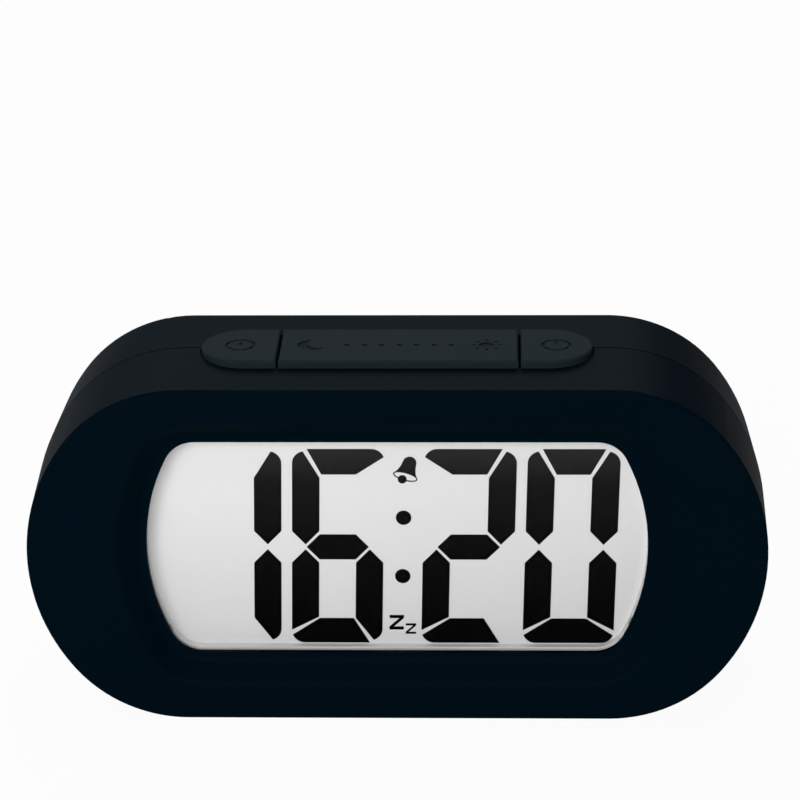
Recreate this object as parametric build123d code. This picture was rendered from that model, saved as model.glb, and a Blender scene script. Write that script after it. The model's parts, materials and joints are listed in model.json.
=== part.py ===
"""Desk alarm clock with a liquid crystal display in a soft-skinned case, built piece by piece.

Millimetres. +X runs to the right as seen from the front, +Y from the front to the back and +Z up.
The origin lies in the middle of the base, on the surface that the clock stands on.
"""
import os
from math import atan2, cos, pi, radians, sin, tan

from build123d import *

# Case: two drafted halves that part at mid-depth
case_width = 135.0
case_height = 65.6
case_depth = 40.0
corner_rise = 6.6  # centres of the corner arcs, above and below mid-height
end_bulge = 2.3  # how much farther the ends reach than the corner arcs
draft_angle = 2.0
wall = 2.2
front_rim_radius = 0.8
rear_rim_radius = 1.5
seam_chamfer = 0.2
tongue_thickness = 1.0
tongue_reach = 2.0
tongue_slack = 0.15
overcut = 0.1  # how far a cut runs past the face it opens
near = 0.001  # how closely an edge lies in a plane

# Window, and the rolled recess round it
window_side_margin = 21.65  # from the case's ends to the window
window_top_margin = 11.7
window_lift = 0.6  # middle of the window, above mid-height
window_corner = 5.85
window_bulge = 3.6
recess_depth = 3.1
recess_taper = 49.0
recess_roll = 1.7
ledge_width = 1.4
lip = 1.0
tub_margin = 6.6

# Display stack, from the lip backwards
tape_thickness = 0.2
tape_setback = 0.7
tape_inset = 0.1
lens_thickness = 1.2
lens_margin = 2.2
lens_slack = 0.15
surround_depth = 1.4
segment_thickness = 0.08
glass_thickness = 1.1
glass_side_overlap = 3.1  # how far the glass reaches past the window
glass_top_overlap = 2.3
contact_ledge = 3.5
guide_thickness = 2.5
guide_inset = 2.0
reflector_thickness = 0.2
frame_wall = 1.8
frame_slack = 0.2
strip_thickness = 2.0
strip_inset = 7.0
lamp_width = 1.2
lamp_height = 4.0
lamp_slack = 0.2

# Figures on the display glass
figure_left_margin = 7.65  # from the window's end to the first figure's cell
figure_right_margin = 5.5
figure_top_margin = 1.55
figure_slant = 1.4  # how far the figures lean to the right, in degrees
digit_gap = 1.95
colon_gap = 7.25
digit_drop = 1.35  # middle of the figures, below the middle of the window
digit_corner = 2.4
upright_width = 5.03
upright_end_inset = 0.45  # how far the uprights stay short of the figure's top and bottom
upright_tip_gap = 0.5  # from the figure's middle to the points of the uprights
upright_shoulder_gap = 3.2
steep_tip = 1.65  # top of an upright that reaches the corner
steep_shoulder = 5.75
low_steep_tip = 1.2
low_steep_shoulder = 5.1
shallow_start = 2.6  # an upright that stops under a bar
shallow_shoulder = 5.3
bar_height = 5.03
bar_steep_start = 2.67  # a bar that stops beside an upright
low_bar_steep_start = 2.33
bar_steep_inset = 5.35
bar_shallow_drop = 1.5  # a bar that reaches the corner
bar_shallow_inset = 5.2
middle_bar_tip = 2.7
middle_bar_inset = 5.1
colon_radius = 1.42
colon_rise = 5.9
bell_shift = 0.2
bell_rise = 14.13
bell_tilt = 17.0
bell_height = 4.05
bell_mouth = 2.3  # half the width of the open mouth
bell_mouth_drop = 0.85
bell_profile = ((0.82, 0.15), (0.64, 0.38), (0.56, 0.62), (0.46, 0.85))  # shares of mouth and height
bell_rim = 0.22
clapper_radius = 0.82
clapper_shift = -0.37
clapper_drop = 0.7
zigzag_drop = 16.85
zigzags = ((-2.33, 0.0, 2.65, 2.97, 0.62), (0.69, -0.88, 1.94, 2.13, 0.4))  # shift, lift, size and line
zigzag_slope = 1.3  # level width of the sloping stroke, in lines

# Keys on the top
key_row_margin = 3.1  # from the ends of the flat top to the key row
key_row_width = 16.6
key_row_y = -1.2
hour_key_length = 14.35
minute_key_length = 13.45
key_rise = 1.0
key_edge_radius = 0.5
key_gap = 0.4
key_slack = 0.25
key_travel = 0.8
key_mark_depth = 0.25
flange_reach = 1.2
flange_thickness = 1.2
flange_slack = 0.1
key_dot_pitch = 3.2
key_dot_radius = 0.55
key_dots = 3  # either side of the middle one
dial_radius = 2.8
dial_line = 0.6
hour_hand = 1.3
minute_hand = 2.4
moon_radius = 2.7
moon_bite = 2.3
moon_bite_x = 1.35
moon_bite_y = 0.8
lamp_mark_radius = 1.4
ray_count = 8
ray_centre = 2.35
ray_length = 0.9
ray_width = 0.5

# Push switches and the key board
plunger_radius = 1.7
plunger_length = 2.4
plunger_rise = 1.0
plunger_slack = 0.15
plunger_spare = 0.3  # left under a pressed plunger
switch_side = 6.0
switch_height = 3.6
key_boss_drop = 1.7
switch_shift = 6.0  # switches and marks, from the splits between the keys
board_thickness = 1.6
key_board_margin = 0.8
key_board_front_reach = 4.5  # forward of the switches' middle
key_board_rear_y = 8.0
shelf_gap = 0.4  # between the shelves and the control board
shelf_width = 6.0
shelf_height = 3.0
shelf_screw_y = 5.3
shelf_screw_spare = 0.5

# Main board
board_margin = 3.0
board_gap = 1.0  # from the main board's top edge to the key board
ear_reach = 6.0
ear_height = 17.0
board_boss_rise = 5.5
board_boss_radius = 2.6
chip_radius = 6.0
chip_height = 1.6
chip_round = 1.2
chip_x = -8.0
crystal_radius = 1.0
crystal_length = 6.0
crystal_x = 8.0
crystal_drop = 9.0
small_part_length = 2.0
small_part_pitch = 4.0
small_part_height = 1.2
small_part_x = 16.0
small_row_pitch = 8.0

# Screws
case_boss_inset = 10.5
case_boss_rise = 13.0
front_boss_radius = 3.2
rear_boss_radius = 4.2
rear_boss_web = 3.2
case_screw_radius = 1.3
case_screw_reach = 10.0
case_head_radius = 2.5
case_head_height = 1.8
small_screw_radius = 0.9
small_screw_reach = 5.0
small_head_radius = 1.9
small_head_height = 1.3
screw_slack = 0.1
head_slack = 0.4
hole_spare = 1.0  # left in a hole past the screw's end
board_hole_slack = 0.3
cross_depth = 0.6  # of the head's height
cross_length = 1.2  # of the head's radius
cross_width = 0.3

# Cells and their bay in the rear half
cell_radius = 5.25
contact_room = 5.5  # past the ends of a cell's can, in the bay
nub_radius = 1.9
nub_length = 1.0
cell_pitch = 11.4
bay_length = 50.0
bay_height = 23.4
bay_wall = 2.4
bay_floor = 1.4
cell_slack = 0.3
contact_thickness = 0.4
contact_height = 9.8
contact_depth = 9.0
contact_tab = 3.0
contact_slack = 0.1
leaf_radius = 4.5
leaf_width = 4.0

# Battery door
door_overlap = 1.6  # past each edge of the bay
door_thickness = 1.8
door_slack = 0.2
hook_x = 16.0
hook_width = 6.0
hook_thickness = 1.2
hook_reach = 1.8
hook_slack = 0.1
tab_width = 10.0
tab_length = 6.0
tab_slit = 0.8
notch_radius = 6.0
notch_depth = 1.4
grip_inset = 1.5

# Slide switches and the control board
control_rise = 7.5
knob_length = 7.0
knob_height = 6.0
knob_thickness = 1.2
knob_slack = 0.1
knob_corner = 0.8
groove_pitch = 1.2
groove_width = 0.5
groove_depth = 0.4
groove_inset = 0.8
grooves = 2  # either side of the middle one
stem_length = 2.4
stem_height = 2.0
stem_reach = 4.1
stem_slack = 0.3
set_travel = 3.0  # either side of the middle
alarm_travel = 3.0
pocket_length = 15.0
pocket_height = 7.2
pocket_depth = 1.4
pocket_corner = 1.5
pocket_pad = 1.0
slide_body_length = 13.0
slide_body_height = 5.4
slide_body_depth = 3.7
control_board_width = 13.4
control_board_height = 35.0
control_post_rise = 14.6
control_post_radius = 2.6
control_hole_depth = 4.5

# Buzzer
buzzer_gap = 0.6  # between the buzzer's collar and the bay
buzzer_radius = 10.0
buzzer_thickness = 0.3
ceramic_radius = 7.0
ceramic_thickness = 0.25
buzzer_standoff = 1.5
buzzer_collar = 1.2
sound_hole_radius = 0.8
sound_hole_pitch = 3.0
sound_rows = 2  # either side of the middle one

# Wiring
lead_radius = 0.6
buzzer_lead_radius = 0.5
lead_bend = 1.5
lead_step = 7.0
contact_tail_length = 2.0
key_ribbon_drop = 6.0
key_ribbon_reach = 4.6
ribbon_thickness = 0.6
key_ribbon_width = 14.0
control_ribbon_width = 9.0

# Levels that follow from the sizes above
mid_z = case_height / 2
window_z = mid_z + window_lift
front_y = -case_depth / 2
rear_y = case_depth / 2
front_inner_y = front_y + wall
rear_inner_y = rear_y - wall
inner_top_z = case_height - wall
seam_growth = case_depth / 2 * tan(radians(draft_angle))
top_z = case_height + seam_growth
corner_radius = case_height / 2 - corner_rise
flat_top = case_width / 2 - corner_radius - end_bulge
case_boss_x = case_width / 2 - case_boss_inset
window_width = case_width - 2 * window_side_margin
window_height = case_height - 2 * window_top_margin
ledge_y = front_y + recess_depth
lip_back_y = ledge_y + lip
lens_front_y = lip_back_y + tape_thickness
lens_back_y = lens_front_y + lens_thickness
display_y = lens_back_y + surround_depth
rear_glass_y = display_y + glass_thickness
guide_y = rear_glass_y + glass_thickness
reflector_y = guide_y + guide_thickness
board_y = reflector_y + reflector_thickness
board_back_y = board_y + board_thickness
glass_width = window_width + 2 * glass_side_overlap
glass_height = window_height + 2 * glass_top_overlap
glass_bottom_z = window_z - glass_height / 2
guide_width = glass_width - 2 * guide_inset
guide_height = glass_height - contact_ledge
guide_z = window_z + contact_ledge / 2
figure_z = window_z - digit_drop
figure_left = figure_left_margin - window_width / 2
figure_right = window_width / 2 - figure_right_margin
digit_width = (figure_right - figure_left - 2 * digit_gap - colon_gap) / 4
digit_height = window_height - 2 * figure_top_margin
colon_x = figure_left + 2 * digit_width + digit_gap + colon_gap / 2
frame_height = glass_height + 2 * frame_slack + 2 * frame_wall
board_width = glass_width + 2 * board_margin
board_boss_x = board_width / 2 + ear_reach / 2
key_row_length = 2 * (flat_top - key_row_margin)
hour_split_x = hour_key_length - key_row_length / 2
minute_split_x = key_row_length / 2 - minute_key_length
key_board_front_y = key_row_y - key_board_front_reach
hour_switch_x = hour_split_x - switch_shift
snooze_switch_x = (hour_split_x + minute_split_x) / 2
minute_switch_x = minute_split_x + switch_shift
flange_top_z = inner_top_z - flange_slack
flange_bottom_z = flange_top_z - flange_thickness
key_top_z = top_z + key_rise
plunger_top_z = flange_bottom_z - key_boss_drop
switch_top_z = plunger_top_z - plunger_rise
key_board_top_z = switch_top_z - switch_height
key_board_bottom_z = key_board_top_z - board_thickness
door_inner_y = rear_y - door_thickness
cell_y = door_inner_y - cell_slack - cell_radius
bay_floor_y = cell_y - cell_radius - cell_slack
bay_front_y = bay_floor_y - bay_floor
bay_end_x = bay_length / 2 + bay_wall
cell_length = bay_length - contact_room
door_width = bay_length + 2 * door_overlap
door_height = bay_height + 2 * door_overlap
door_bottom_z = mid_z - door_height / 2
pocket_floor_y = rear_y - pocket_depth
pad_y = rear_inner_y - pocket_pad
slide_body_y = pad_y - knob_slack
control_board_y = slide_body_y - slide_body_depth - board_thickness
control_x = (bay_end_x + case_boss_x - rear_boss_radius) / 2
shelf_x = control_x - control_board_width / 2 - shelf_gap - shelf_width / 2
buzzer_y = rear_inner_y - buzzer_standoff
buzzer_x = -(bay_end_x + buzzer_gap + buzzer_collar + buzzer_radius)
sides = (-1, 1)


def looking_in(y):
    """Drawing plane at depth y whose axes are the frame's X and Z."""
    return Plane((0, y, 0), x_dir=(1, 0, 0), z_dir=(0, -1, 0))


def prism(face, y_from, y_to):
    """A drawn face carried from one depth to another."""
    return extrude(looking_in(y_to) * face, amount=y_to - y_from)


def block(x_from, x_to, y_from, y_to, z_from, z_to):
    centre = Pos((x_from + x_to) / 2, (y_from + y_to) / 2, (z_from + z_to) / 2)
    return centre * Box(x_to - x_from, y_to - y_from, z_to - z_from)


def post(x, z, radius, y_from, y_to):
    """A round post that runs front to back."""
    return prism(Pos(x, z) * Circle(radius), y_from, y_to)


def column(x, y, radius, z_from, z_to):
    """A round post that stands up."""
    return Pos(x, y, (z_from + z_to) / 2) * Cylinder(radius, z_to - z_from)


def rounded_end_face(width, height, radius, bulge):
    """Flat top and bottom, a corner arc at each corner and one shallow arc for each end."""
    half_width, half_height = width / 2, height / 2
    rise = half_height - radius
    flat = half_width - radius - bulge
    end_radius = radius + (bulge**2 + rise**2) / (2 * bulge)
    end_x = half_width - end_radius
    meeting = atan2(rise, flat - end_x)
    bend = (meeting + pi / 2) / 2
    top = (flat, half_height)
    middle = (flat + radius * cos(bend), rise + radius * sin(bend))
    join = (end_x + end_radius * cos(meeting), end_radius * sin(meeting))

    def at(x_side, z_side, point):
        return (x_side * point[0], z_side * point[1])

    edges = []
    for side in sides:
        edges.append(Line(at(-1, side, top), at(1, side, top)))
        edges.append(ThreePointArc(at(side, 1, join), (side * half_width, 0), at(side, -1, join)))
        for z_side in sides:
            points = [at(side, z_side, point) for point in (top, middle, join)]
            edges.append(ThreePointArc(*points))
    return make_face(edges)


def case_face(growth):
    return rounded_end_face(
        case_width + 2 * growth, case_height + 2 * growth, corner_radius + growth, end_bulge
    )


def window_face(growth):
    face = rounded_end_face(
        window_width + 2 * growth, window_height + 2 * growth, window_corner + growth, window_bulge
    )
    return Pos(0, window_z) * face


def edges_at_depth(shape, y):
    return shape.edges().filter_by_position(Axis.Y, y - near, y + near)


def key_row(growth):
    return Pos(0, key_row_y) * SlotOverall(key_row_length + 2 * growth, key_row_width + 2 * growth)


def case_half(side, rim_radius):
    """One drafted half of the case, hollow, with its share of the flat base and key opening."""
    plane = Plane((0, 0, mid_z), x_dir=(1, 0, 0), z_dir=(0, side, 0))
    half = extrude(plane * case_face(seam_growth), amount=case_depth / 2, taper=draft_angle)
    half = fillet(edges_at_depth(half, side * case_depth / 2), rim_radius)
    half = chamfer(edges_at_depth(half, 0), seam_chamfer)
    half -= extrude(plane * case_face(-wall), amount=case_depth / 2 - wall)
    half -= block(-case_width, case_width, -case_depth, case_depth, -wall, 0)
    return half - Pos(0, 0, switch_top_z) * extrude(key_row(key_slack), amount=case_height)


def case_boss_places():
    return [(x * case_boss_x, mid_z + z * case_boss_rise) for x in sides for z in sides]


def board_boss_places():
    return [(x * board_boss_x, mid_z + z * board_boss_rise) for x in sides for z in sides]


def control_post_places():
    return [(control_x, mid_z + z * control_post_rise) for z in sides]


def make_front_shell():
    shell = case_half(-1, front_rim_radius)
    shell += prism(window_face(tub_margin), front_inner_y - wall / 2, display_y)
    for x, z in case_boss_places():
        shell += post(x, z, front_boss_radius, front_inner_y, 0)
    for x, z in board_boss_places():
        shell += post(x, z, board_boss_radius, front_inner_y, board_y)
    foot_growth = ledge_width + recess_depth * tan(radians(recess_taper))
    plane = Plane((0, front_y, window_z), x_dir=(1, 0, 0), z_dir=(0, 1, 0))
    recess = extrude(
        plane * Pos(0, -window_z) * window_face(foot_growth), amount=recess_depth, taper=recess_taper
    )
    shell -= fillet(edges_at_depth(recess, ledge_y), recess_roll)
    face = shell.faces().filter_by_position(Axis.Y, front_y - near, front_y + near)[0]
    shell = fillet(face.inner_wires()[0].edges(), recess_roll)
    shell -= prism(window_face(0), front_y, display_y)
    shell -= prism(window_face(lens_margin + lens_slack), lip_back_y, display_y)
    for x, z in case_boss_places():
        shell -= post(x, z, case_screw_radius + screw_slack, -case_screw_reach - hole_spare, overcut)
    for x, z in board_boss_places():
        hole_end = board_y - small_screw_reach
        shell -= post(x, z, small_screw_radius + screw_slack, hole_end, board_y + overcut)
    return shell


def make_tongue():
    """The rear half's lip, which steps inside the front half at the parting line."""
    root = case_face(-wall) - case_face(-wall - tongue_slack - tongue_thickness)
    lip_face = case_face(-wall - tongue_slack) - case_face(-wall - tongue_slack - tongue_thickness)
    tongue = prism(Pos(0, mid_z) * root, 0, tongue_reach)
    tongue += prism(Pos(0, mid_z) * lip_face, -tongue_reach, 0)
    clear = key_row_length / 2 + flange_reach + wall
    return tongue - block(-clear, clear, -case_depth, case_depth, key_board_bottom_z, case_height)


def hook_slots():
    """Room under the rear wall for the door's hooks to turn in."""
    slots = []
    width = hook_width / 2 + door_slack
    sill_z = door_bottom_z - door_slack
    depth = rear_inner_y - hook_thickness - hook_reach
    for side in sides:
        x = side * hook_x
        low, high = sill_z - hook_reach - door_slack, mid_z - bay_height / 2 + overcut
        slots.append(block(x - width, x + width, depth, rear_inner_y, low, high))
        slots.append(block(x - width, x + width, depth, door_inner_y + overcut, sill_z, high))
    return slots


def sound_holes():
    holes = []
    for row in range(-sound_rows, sound_rows + 1):
        count = 2 * sound_rows + 1 - abs(row)
        for place in range(count):
            x = buzzer_x + (place - (count - 1) / 2) * sound_hole_pitch
            z = mid_z + row * sound_hole_pitch * sin(pi / 3)
            holes.append(post(x, z, sound_hole_radius, rear_inner_y - overcut, rear_y + overcut))
    return holes


def slide_openings():
    """A shallow pocket and a through slot for each of the two knobs."""
    openings = []
    for side, travel in ((1, 2 * set_travel), (-1, alarm_travel)):
        centre = Pos(control_x, mid_z + side * control_rise)
        pocket = centre * RectangleRounded(pocket_length, pocket_height, pocket_corner)
        slot = centre * Rectangle(stem_length + travel + 2 * stem_slack, stem_height + 2 * stem_slack)
        openings.append(prism(pocket, pocket_floor_y, rear_y + overcut))
        openings.append(prism(slot, pad_y - overcut, rear_y))
    return openings


def make_rear_shell():
    shell = case_half(1, rear_rim_radius) + make_tongue()
    bay = Pos(0, mid_z) * Rectangle(bay_length + 2 * bay_wall, bay_height + 2 * bay_wall)
    shell += prism(bay, bay_front_y, rear_inner_y + wall / 2)
    for x, z in case_boss_places():
        shell += post(x, z, rear_boss_radius, 0, rear_inner_y)
    for x, z in control_post_places():
        shell += post(x, z, control_post_radius, control_board_y + board_thickness, rear_inner_y)
    for side in sides:
        x, z = side * shelf_x, key_board_bottom_z
        shell += block(
            x - shelf_width / 2, x + shelf_width / 2, 0, rear_inner_y, z - shelf_height, z
        )
        pad = Pos(control_x, mid_z + side * control_rise)
        pad *= Rectangle(pocket_length + 2 * wall, pocket_height + 2 * wall)
        shell += prism(pad, pad_y, rear_inner_y)
    ring = Circle(buzzer_radius + buzzer_collar) - Circle(buzzer_radius - buzzer_collar)
    collar = Circle(buzzer_radius + buzzer_collar) - Circle(buzzer_radius + screw_slack)
    shell += prism(Pos(buzzer_x, mid_z) * ring, buzzer_y, rear_inner_y)
    shell += prism(Pos(buzzer_x, mid_z) * collar, buzzer_y - buzzer_collar, buzzer_y)

    shell -= prism(Pos(0, mid_z) * Rectangle(bay_length, bay_height), bay_floor_y, rear_y)
    recess = Rectangle(door_width + 2 * door_slack, door_height + 2 * door_slack)
    shell -= prism(Pos(0, mid_z) * recess, door_inner_y, rear_y)
    notch = Pos(0, mid_z + door_height / 2) * Circle(notch_radius)
    shell -= prism(notch, rear_y - notch_depth, rear_y)
    for cut in hook_slots() + sound_holes() + slide_openings():
        shell -= cut
    for x, z in case_boss_places():
        shell -= post(x, z, case_head_radius + head_slack, rear_boss_web, rear_y)
        shell -= post(x, z, case_screw_radius + screw_slack, 0, rear_boss_web)
    for x, z in control_post_places():
        low = control_board_y + board_thickness
        shell -= post(x, z, small_screw_radius + screw_slack, low, low + control_hole_depth)
    for side in sides:
        hole = small_screw_radius + screw_slack
        shell -= column(
            side * shelf_x, shelf_screw_y, hole, key_board_bottom_z - shelf_height, key_board_bottom_z
        )
        z = mid_z + side * cell_pitch / 2
        x = bay_length / 2
        shell -= block(
            x - contact_thickness - contact_slack, x + contact_slack, bay_front_y, bay_floor_y,
            z - contact_tab / 2 - 2 * contact_slack, z + contact_tab / 2 + 2 * contact_slack,
        )
    return shell


def lean(x, z):
    """Where a point of the upright display lands once the figures slant."""
    return (x + z * tan(radians(figure_slant)), z)


def upright_points(steep, upper):
    """One upright of a figure, from the outer corner to the figure's middle."""
    half = digit_height / 2
    if steep and upper:
        points = [(0, half), (steep_tip, half), (upright_width, half - steep_shoulder)]
    elif steep:
        points = [(0, half), (low_steep_tip, half), (upright_width, half - low_steep_shoulder)]
    else:
        points = [(0, half - shallow_start), (upright_width, half - shallow_shoulder)]
    points.append((upright_width, upright_shoulder_gap))
    points.append((upright_width / 2, upright_tip_gap))
    points.append((0, upright_shoulder_gap))
    return [(x, z if upper else -z) for x, z in points]


def bar_points(steep_left, steep_right, upper):
    """The top or bottom bar of a figure, between its two corners."""
    half = digit_height / 2
    steep_start = bar_steep_start if upper else low_bar_steep_start
    points = []
    for steep, side in ((steep_left, -1), (steep_right, 1)):
        if steep:
            end = [(steep_start, half), (bar_steep_inset, half - bar_height)]
        else:
            end = [(0, half), (0, half - bar_shallow_drop), (bar_shallow_inset, half - bar_height)]
        end = [(side * (digit_width / 2 - x), z if upper else -z) for x, z in end]
        points += end if side < 0 else end[::-1]
    return points


def slanted_face(points):
    return make_face(Polyline(*[lean(x, z) for x, z in points], close=True))


def slanted_cell(half_height):
    """Round-cornered outline that a figure's segments are trimmed to."""
    half_width = digit_width / 2
    corners = [(-half_width, -half_height), (half_width, -half_height)]
    corners += [(half_width, half_height), (-half_width, half_height)]
    return fillet(slanted_face(corners).vertices(), digit_corner)


def digit_segments(lit, steep):
    """Lit segments of one figure, centred. steep names the corners where the upright is on top."""
    half_width, half_bar = digit_width / 2, bar_height / 2
    outlines = {}
    for name, corner in (("f", "lt"), ("b", "rt"), ("e", "lb"), ("c", "rb")):
        side = -1 if corner[0] == "l" else 1
        points = upright_points(corner in steep, corner[1] == "t")
        outlines[name] = [(side * (half_width - x), z) for x, z in points]
    outlines["a"] = bar_points("lt" in steep, "rt" in steep, True)
    outlines["d"] = bar_points("lb" in steep, "rb" in steep, False)
    tip, inset = half_width - middle_bar_tip, half_width - middle_bar_inset
    outlines["g"] = [(-tip, 0), (-inset, half_bar), (inset, half_bar)]
    outlines["g"] += [(tip, 0), (inset, -half_bar), (-inset, -half_bar)]
    bar_cell = slanted_cell(digit_height / 2)
    upright_cell = slanted_cell(digit_height / 2 - upright_end_inset)
    cells = {name: bar_cell if name in "adg" else upright_cell for name in lit}
    return [slanted_face(outlines[name]) & cells[name] for name in lit]


def bell_mark():
    """Alarm bell seen a little from below, with the clapper in its open mouth."""
    right = [(bell_mouth * across, bell_height * up) for across, up in bell_profile]
    left = [(-x, z) for x, z in right]
    sweep_over = Spline((-bell_mouth, 0), *left, (0, bell_height), *right[::-1], (bell_mouth, 0))
    body = make_face([sweep_over, Line((bell_mouth, 0), (-bell_mouth, 0))])
    bell = body + Ellipse(bell_mouth, bell_mouth_drop)
    bell -= Ellipse(bell_mouth - bell_rim, bell_mouth_drop - bell_rim)
    bell += Pos(clapper_shift, -clapper_drop) * Circle(clapper_radius)
    return Rotation(0, 0, -bell_tilt) * bell


def zigzag_marks():
    """Two zigzags side by side, a large one and a small one."""
    marks = []
    for left, lift, width, height, line in zigzags:
        low = lift - zigzag_drop
        high = low + height
        right, slope = left + width, zigzag_slope * line
        mark = slanted_face([(left, low), (right, low), (right, low + line), (left, low + line)])
        mark += slanted_face([(left, high - line), (right, high - line), (right, high), (left, high)])
        foot = [(left, low + line), (left + slope, low + line)]
        head = [(right, high - line), (right - slope, high - line)]
        mark += slanted_face(foot + head)
        marks.append(mark)
    return marks


def make_display_segments():
    figures = (
        ("bc", ("rt", "rb")),
        ("acdefg", ("lt", "rb")),
        ("abdeg", ("rt", "rb")),
        ("abcdef", ("lt", "rt")),
    )
    faces = []
    left = figure_left
    for (lit, steep), gap in zip(figures, (digit_gap, colon_gap, digit_gap, 0)):
        place = Pos(left + digit_width / 2, figure_z)
        faces += [place * face for face in digit_segments(lit, steep)]
        left += digit_width + gap
    marks = [Pos(lean(0, side * colon_rise)) * Circle(colon_radius) for side in sides]
    marks.append(Pos(lean(bell_shift, bell_rise)) * bell_mark())
    marks += zigzag_marks()
    faces += [Pos(colon_x, figure_z) * mark for mark in marks]
    return Compound([prism(face, display_y - segment_thickness, display_y) for face in faces])


def make_display():
    """Lens, display glass, light guide and the frame that holds them."""
    ring = window_face(lens_margin)
    lens = prism(ring, lens_front_y, lens_back_y)
    tape = prism(window_face(lens_margin - tape_inset) - window_face(tape_setback), lip_back_y, lens_front_y)
    surround = prism(ring - window_face(0), lens_back_y, display_y)
    front_glass = Pos(0, window_z) * Rectangle(glass_width, glass_height)
    rear_glass = Pos(0, guide_z) * Rectangle(glass_width, guide_height)
    guide = Pos(0, guide_z) * Rectangle(guide_width, guide_height)
    inner_width, inner_height = glass_width + 2 * frame_slack, glass_height + 2 * frame_slack
    outer = Rectangle(inner_width + 2 * frame_wall, frame_height)
    frame = Pos(0, window_z) * (outer - Rectangle(inner_width, inner_height))
    strip_z = glass_bottom_z + contact_ledge / 2
    strip = Pos(0, strip_z) * Rectangle(glass_width - 2 * strip_inset, strip_thickness)
    lamps = []
    for side in sides:
        x = side * (guide_width / 2 + lamp_slack + lamp_width / 2)
        lamp = Pos(x, window_z) * Rectangle(lamp_width, lamp_height)
        lamps.append(prism(lamp, guide_y + lamp_slack, board_y))
    return {
        "display_lens": lens,
        "lens_tape": tape,
        "display_surround": surround,
        "display_segments": make_display_segments(),
        "display_front_glass": prism(front_glass, display_y, rear_glass_y),
        "display_rear_glass": prism(rear_glass, rear_glass_y, guide_y),
        "light_guide": prism(guide, guide_y, reflector_y),
        "reflector_sheet": prism(guide, reflector_y, board_y),
        "display_frame": prism(frame, display_y, board_y),
        "contact_strip": prism(strip, rear_glass_y, board_y),
        "backlight_lamps": Compound(lamps),
    }


def screw_along_y(x, z, seat_y, radius, reach, head_radius, head_height, toward):
    """A screw whose head rests on seat_y and whose shank runs the way of toward."""
    ends = sorted((seat_y, seat_y + toward * reach))
    head = sorted((seat_y, seat_y - toward * head_height))
    body = post(x, z, radius, *ends) + post(x, z, head_radius, *head)
    depth = head_height * cross_depth
    top = seat_y - toward * head_height
    slot = sorted((top, top + toward * depth))
    for turn in (0, 90):
        arm = Rectangle(head_radius * cross_length, head_radius * cross_width)
        cross = Pos(x, z) * Rotation(0, 0, turn) * arm
        body -= prism(cross, *slot)
    return body


def make_main_board():
    low_z, high_z = window_z - frame_height / 2, key_board_bottom_z - board_gap
    board = block(-board_width / 2, board_width / 2, board_y, board_back_y, low_z, high_z)
    ears = Pos(0, mid_z) * Rectangle(board_width + 2 * ear_reach, ear_height)
    board += prism(ears, board_y, board_back_y)
    screws = []
    for x, z in board_boss_places():
        board -= post(x, z, small_screw_radius + board_hole_slack, board_y, board_back_y)
        screws.append(
            screw_along_y(
                x, z, board_back_y, small_screw_radius, board_thickness + small_screw_reach - hole_spare,
                small_head_radius, small_head_height, -1,
            )
        )
    chip_top = board_back_y + chip_height
    chip = post(chip_x, mid_z, chip_radius, board_back_y, chip_top)
    chip = fillet(edges_at_depth(chip, chip_top), chip_round)
    crystal_y, crystal_z = board_back_y + crystal_radius, mid_z - crystal_drop
    crystal = Pos(crystal_x, crystal_y, crystal_z) * Rotation(0, 90, 0)
    crystal *= Cylinder(crystal_radius, crystal_length)
    small_parts = []
    for row in range(-1, 2):
        for place in range(-1, 2):
            x = small_part_x + place * small_part_pitch
            z = mid_z + small_row_pitch * row
            part = Pos(x, z) * Rectangle(small_part_length, small_part_length / 2)
            small_parts.append(prism(part, board_back_y, board_back_y + small_part_height))
    return {
        "main_board": board,
        "board_screws": Compound(screws),
        "clock_chip": chip,
        "quartz_crystal": crystal,
        "board_parts": Compound(small_parts),
    }


def dial_mark(hand_length):
    """A small clock dial with one hand."""
    dial = Circle(dial_radius) - Circle(dial_radius - dial_line)
    return dial + Pos(0, hand_length / 2) * Rectangle(dial_line, hand_length)


def lamp_mark():
    mark = Sketch() + Circle(lamp_mark_radius)
    for ray in range(ray_count):
        turn = Rotation(0, 0, ray * 360 / ray_count)
        mark += turn * Pos(ray_centre, 0) * Rectangle(ray_length, ray_width)
    return mark


def snooze_key_marks():
    moon = Circle(moon_radius) - Pos(moon_bite_x, moon_bite_y) * Circle(moon_bite)
    marks = [Pos(hour_split_x + switch_shift, 0) * moon]
    marks.append(Pos(minute_split_x - switch_shift, 0) * lamp_mark())
    for place in range(-key_dots, key_dots + 1):
        marks.append(Pos(snooze_switch_x + key_dot_pitch * place, 0) * Circle(key_dot_radius))
    return marks


def make_key(x_from, x_to, boss_x, marks):
    """One piece of the pill-shaped row, with a flange under the case top and a boss below."""
    window = block(x_from, x_to, -case_depth, case_depth, 0, 2 * case_height)
    key = Pos(0, 0, flange_bottom_z) * extrude(key_row(0), amount=key_top_z - flange_bottom_z)
    key &= window
    top = key.faces().sort_by(Axis.Z)[-1]
    key = fillet(top.edges(), key_edge_radius)
    flange = Pos(0, 0, flange_bottom_z) * extrude(key_row(flange_reach), amount=flange_thickness)
    key += flange & window
    key += column(boss_x, key_row_y, plunger_radius + plunger_slack, plunger_top_z, flange_bottom_z)
    for mark in marks:
        key -= Pos(0, key_row_y, key_top_z - key_mark_depth) * extrude(mark, amount=key_rise)
    return key


def make_push_switch(x):
    half = switch_side / 2
    body = block(
        x - half, x + half, key_row_y - half, key_row_y + half, key_board_top_z, switch_top_z
    )
    floor_z = switch_top_z - plunger_length + plunger_rise - key_travel - plunger_spare
    return body - column(x, key_row_y, plunger_radius + plunger_slack, floor_z, switch_top_z)


def make_plunger(x):
    return column(x, key_row_y, plunger_radius, plunger_top_z - plunger_length, plunger_top_z)


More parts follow.
